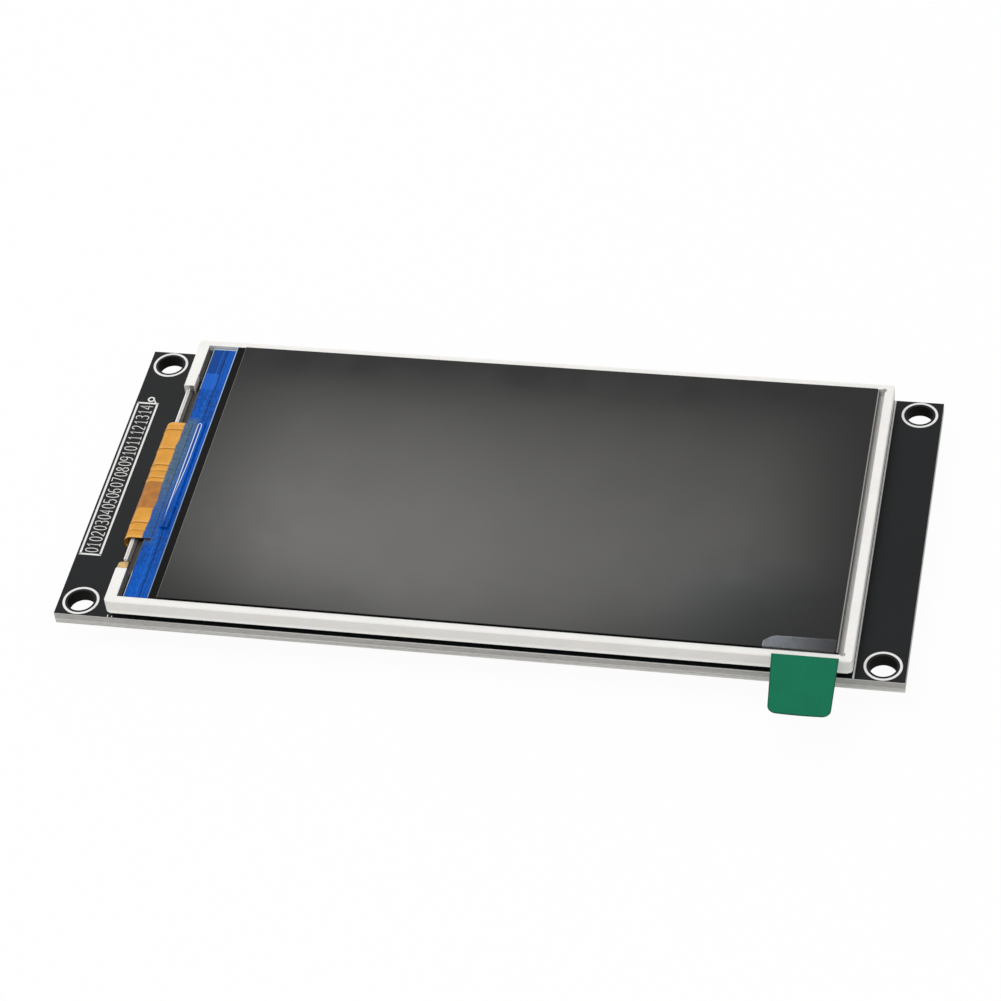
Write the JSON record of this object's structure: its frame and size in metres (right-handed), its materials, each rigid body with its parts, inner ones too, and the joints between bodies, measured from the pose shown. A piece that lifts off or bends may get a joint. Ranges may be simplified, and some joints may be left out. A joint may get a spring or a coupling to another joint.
{
  "type": "tft display module",
  "caption": "Bare colour display panel with edge-lit backlight, folded flexible tail and film pull tab, taped on a screw-mounted circuit board.",
  "frame": {"origin": "centre of the four mounting holes, on the board's underside", "axes": "+X along the board towards its plain end, +Y across it, +Z out of the screen"},
  "size_m": [0.1, 0.0543, 0.0072],
  "materials": {
    "board_mask": "semi-gloss black solder mask on glass-fibre laminate",
    "foam_tape": "black closed-cell foam tape",
    "frame_white": "moulded white polycarbonate, satin",
    "reflector": "bright white reflector film",
    "guide_acrylic": "clear moulded acrylic",
    "optical_sheet": "translucent optical film",
    "lamp_strip_flex": "amber polyimide flex",
    "lamp_body": "white lamp with yellow phosphor window",
    "black_tape": "black light-blocking tape",
    "polarizer": "dark neutral polarizer",
    "panel_glass": "clear display glass",
    "filter_glass": "display glass with black border",
    "chip_silicon": "polished silicon",
    "blue_coat": "blue sealing coat, glossy",
    "tail_flex": "amber polyimide flex, glossy",
    "tinned_copper": "tinned copper",
    "clear_film": "clear protective film",
    "clear_strip": "clear adhesive strip",
    "tab_green": "green polyester film",
    "socket_housing": "cream high-temperature moulding",
    "contact_metal": "plated spring alloy",
    "anchor_metal": "tinned steel",
    "package_black": "black moulded package",
    "lead_metal": "tinned leads",
    "capacitor_ceramic": "tan ceramic",
    "resistor_ceramic": "black coated ceramic",
    "terminal_metal": "tinned terminal with solder",
    "white_print": "white printed marks on the board"
  },
  "bodies": {
    "root": {"circuit_board": "board_mask", "mounting_tape": "foam_tape", "backlight_frame": "frame_white", "reflector_sheet": "reflector", "light_guide": "guide_acrylic", "diffuser_sheet": "optical_sheet", "lower_prism_sheet": "optical_sheet", "upper_prism_sheet": "optical_sheet", "lamp_strip": "lamp_strip_flex", "backlight_lamps": "lamp_body", "rim_tape": "black_tape", "rear_polarizer": "polarizer", "tft_glass": "panel_glass", "colour_filter_glass": "filter_glass", "front_polarizer": "polarizer", "driver_chip": "chip_silicon", "ledge_coat": "blue_coat", "display_tail": "tail_flex", "tail_lands": "tinned_copper", "protective_film": "clear_film", "tab_strip": "clear_strip", "pull_tab": "tab_green", "ribbon_socket": "socket_housing", "socket_contacts": "contact_metal", "socket_anchors": "anchor_metal", "regulator_body": "package_black", "regulator_leads": "lead_metal", "transistor_body": "package_black", "transistor_leads": "lead_metal", "chip_capacitors": "capacitor_ceramic", "capacitor_terminals": "terminal_metal", "chip_resistors": "resistor_ceramic", "resistor_terminals": "terminal_metal"}
  },
  "joints": []
}
